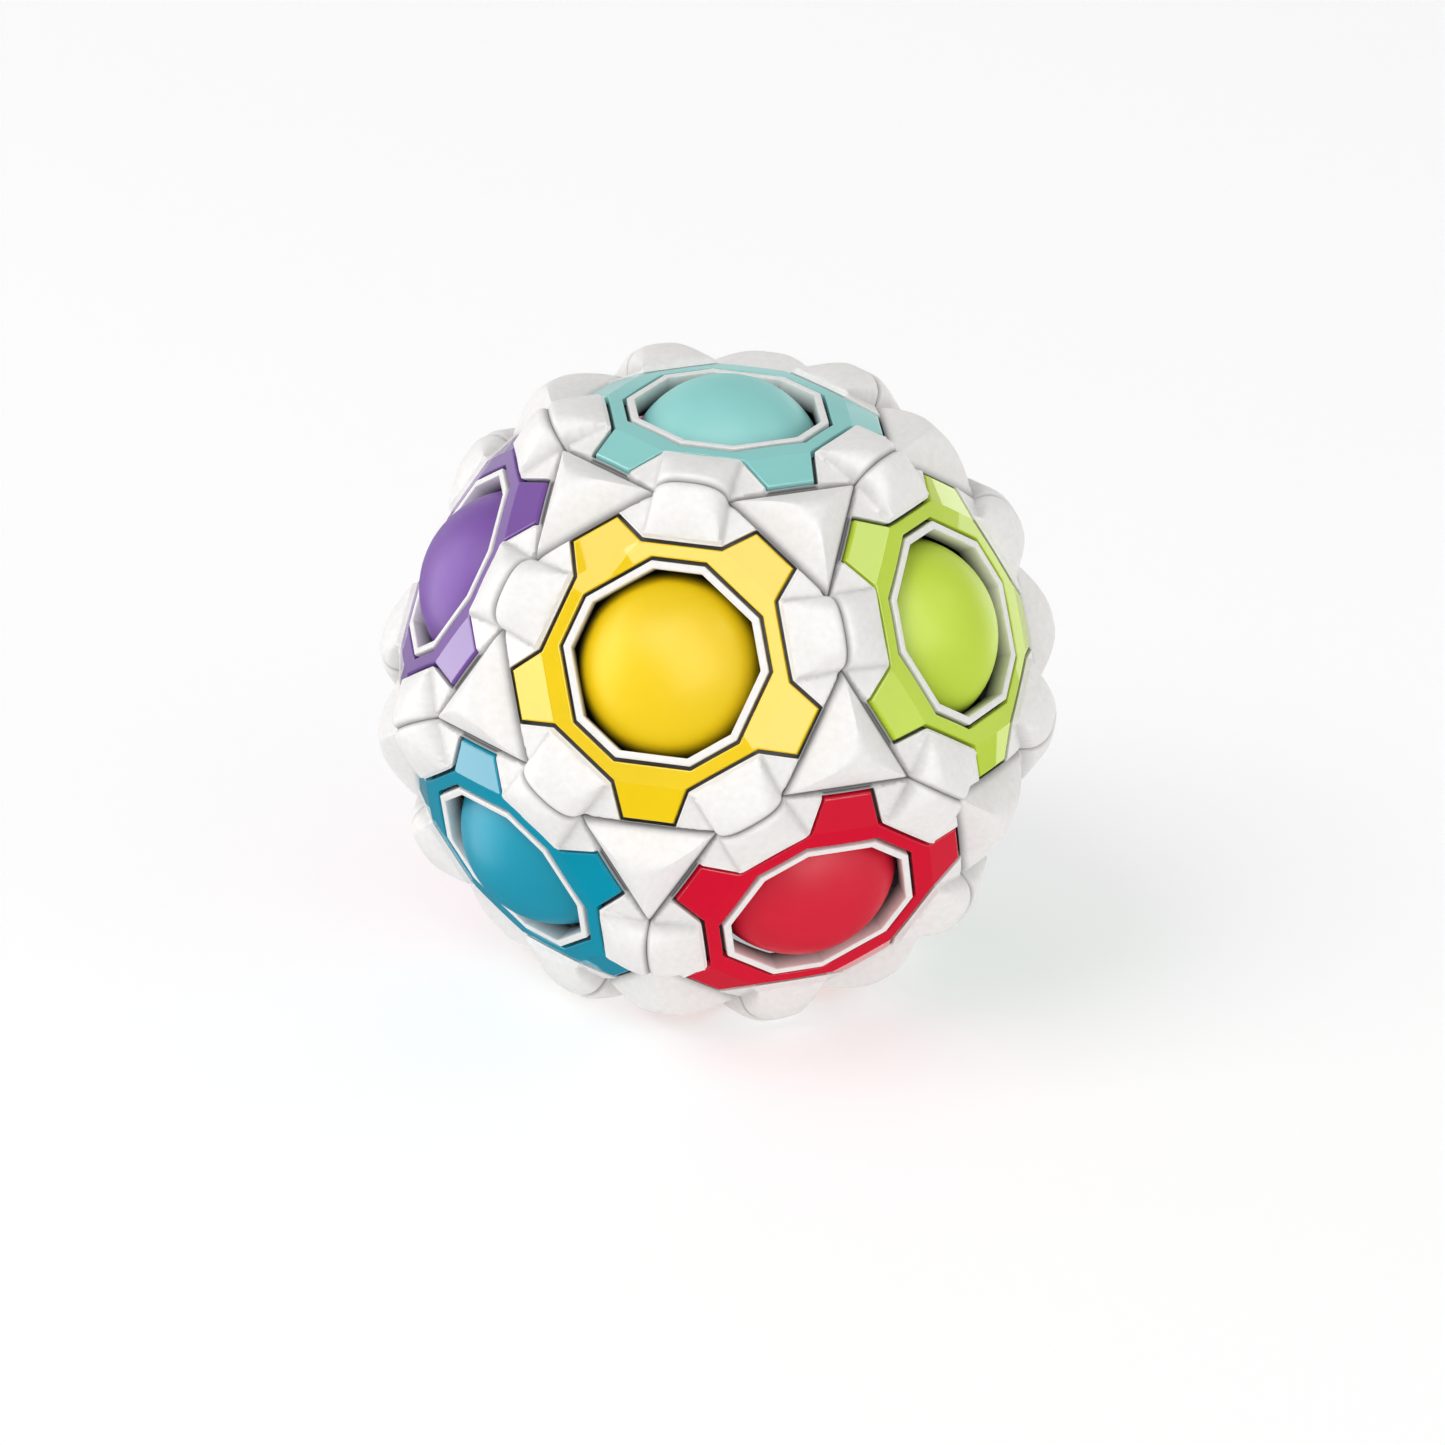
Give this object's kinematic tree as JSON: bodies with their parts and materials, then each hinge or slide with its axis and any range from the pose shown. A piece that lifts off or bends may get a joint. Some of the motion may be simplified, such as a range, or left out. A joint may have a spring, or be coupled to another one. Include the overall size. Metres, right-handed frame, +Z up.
{
  "type": "ball puzzle",
  "caption": "Hollow white ball puzzle with coloured balls behind ten-sided holes, one hole empty, so a ball can be pushed in and rolled to it.",
  "frame": {"origin": "on the surface that the puzzle stands on, under its centre", "axes": "+Z up through the centre of the mint hole, opposite the empty hole; -Y is the side of the yellow hole"},
  "size_m": [0.0704, 0.0688, 0.0637],
  "materials": {
    "white_shell": "moulded white plastic with a fine satin grain",
    "mint_plastic": "glossy moulded plastic, coloured through",
    "yellow_plastic": "glossy moulded plastic, coloured through",
    "lime_plastic": "glossy moulded plastic, coloured through",
    "orange_plastic": "glossy moulded plastic, coloured through",
    "pink_plastic": "glossy moulded plastic, coloured through",
    "purple_plastic": "glossy moulded plastic, coloured through",
    "red_plastic": "glossy moulded plastic, coloured through",
    "green_plastic": "glossy moulded plastic, coloured through",
    "blue_plastic": "glossy moulded plastic, coloured through",
    "magenta_plastic": "glossy moulded plastic, coloured through",
    "teal_plastic": "glossy moulded plastic, coloured through",
    "coral_plastic": "glossy moulded plastic, coloured through",
    "core_rubber": "soft foam rubber, matt"
  },
  "bodies": {
    "shell": {"panel_mint": "white_shell", "panel_yellow": "white_shell", "panel_lime": "white_shell", "panel_orange": "white_shell", "panel_pink": "white_shell", "panel_purple": "white_shell", "panel_red": "white_shell", "panel_green": "white_shell", "panel_blue": "white_shell", "panel_magenta": "white_shell", "panel_teal": "white_shell", "panel_coral": "white_shell", "bezel_mint": "mint_plastic", "bezel_yellow": "yellow_plastic", "bezel_lime": "lime_plastic", "bezel_orange": "orange_plastic", "bezel_pink": "pink_plastic", "bezel_purple": "purple_plastic", "bezel_red": "red_plastic", "bezel_green": "green_plastic", "bezel_blue": "blue_plastic", "bezel_magenta": "magenta_plastic", "bezel_teal": "teal_plastic", "bezel_coral": "coral_plastic", "corner_cap_01": "white_shell", "corner_cap_02": "white_shell", "corner_cap_03": "white_shell", "corner_cap_04": "white_shell", "corner_cap_05": "white_shell", "corner_cap_06": "white_shell", "corner_cap_07": "white_shell", "corner_cap_08": "white_shell", "corner_cap_09": "white_shell", "corner_cap_10": "white_shell", "corner_cap_11": "white_shell", "corner_cap_12": "white_shell", "corner_cap_13": "white_shell", "corner_cap_14": "white_shell", "corner_cap_15": "white_shell", "corner_cap_16": "white_shell", "corner_cap_17": "white_shell", "corner_cap_18": "white_shell", "corner_cap_19": "white_shell", "corner_cap_20": "white_shell"},
    "core": {"soft_core": "core_rubber"},
    "blue_ball": {"ball_blue": "blue_plastic"},
    "mint_ball": {"ball_mint": "mint_plastic"},
    "yellow_ball": {"ball_yellow": "yellow_plastic"},
    "lime_ball": {"ball_lime": "lime_plastic"},
    "orange_ball": {"ball_orange": "orange_plastic"},
    "pink_ball": {"ball_pink": "pink_plastic"},
    "purple_ball": {"ball_purple": "purple_plastic"},
    "red_ball": {"ball_red": "red_plastic"},
    "green_ball": {"ball_green": "green_plastic"},
    "magenta_ball": {"ball_magenta": "magenta_plastic"},
    "teal_ball": {"ball_teal": "teal_plastic"}
  },
  "joints": [
    {"name": "mint_ball_press", "type": "slide", "parent": "shell", "child": "mint_ball", "axis": [0, 0, -1], "range_m": [0, 0.0032], "stiffness_N_per_m": 600, "springref_m": -0.001, "deforming": ["soft_core"]},
    {"name": "yellow_ball_press", "type": "slide", "parent": "shell", "child": "yellow_ball", "axis": [0, 0.8944, -0.4472], "range_m": [0, 0.0032], "stiffness_N_per_m": 600, "springref_m": -0.001, "deforming": ["soft_core"]},
    {"name": "lime_ball_press", "type": "slide", "parent": "shell", "child": "lime_ball", "axis": [-0.8507, 0.2764, -0.4472], "range_m": [0, 0.0032], "stiffness_N_per_m": 600, "springref_m": -0.001, "deforming": ["soft_core"]},
    {"name": "orange_ball_press", "type": "slide", "parent": "shell", "child": "orange_ball", "axis": [-0.5257, -0.7236, -0.4472], "range_m": [0, 0.0032], "stiffness_N_per_m": 600, "springref_m": -0.001, "deforming": ["soft_core"]},
    {"name": "pink_ball_press", "type": "slide", "parent": "shell", "child": "pink_ball", "axis": [0.5257, -0.7236, -0.4472], "range_m": [0, 0.0032], "stiffness_N_per_m": 600, "springref_m": -0.001, "deforming": ["soft_core"]},
    {"name": "purple_ball_press", "type": "slide", "parent": "shell", "child": "purple_ball", "axis": [0.8507, 0.2764, -0.4472], "range_m": [0, 0.0032], "stiffness_N_per_m": 600, "springref_m": -0.001, "deforming": ["soft_core"]},
    {"name": "red_ball_press", "type": "slide", "parent": "shell", "child": "red_ball", "axis": [-0.5257, 0.7236, 0.4472], "range_m": [0, 0.0032], "stiffness_N_per_m": 600, "springref_m": -0.001, "deforming": ["soft_core"]},
    {"name": "green_ball_press", "type": "slide", "parent": "shell", "child": "green_ball", "axis": [-0.8507, -0.2764, 0.4472], "range_m": [0, 0.0032], "stiffness_N_per_m": 600, "springref_m": -0.001, "deforming": ["soft_core"]},
    {"name": "magenta_ball_press", "type": "slide", "parent": "shell", "child": "magenta_ball", "axis": [0.8507, -0.2764, 0.4472], "range_m": [0, 0.0032], "stiffness_N_per_m": 600, "springref_m": -0.001, "deforming": ["soft_core"]},
    {"name": "teal_ball_press", "type": "slide", "parent": "shell", "child": "teal_ball", "axis": [0.5257, 0.7236, 0.4472], "range_m": [0, 0.0032], "stiffness_N_per_m": 600, "springref_m": -0.001, "deforming": ["soft_core"]},
    {"name": "core_turn", "type": "hinge", "parent": "shell", "child": "core", "pos_m": [0, 0, 0.0306], "axis": [-1, 0, 0], "range_deg": [0, 63.43], "deforming": ["soft_core"]},
    {"name": "blue_ball_press", "type": "slide", "parent": "core", "child": "blue_ball", "axis": [0, 0.8944, -0.4472], "range_m": [0, 0.0037], "deforming": ["soft_core"]}
  ]
}
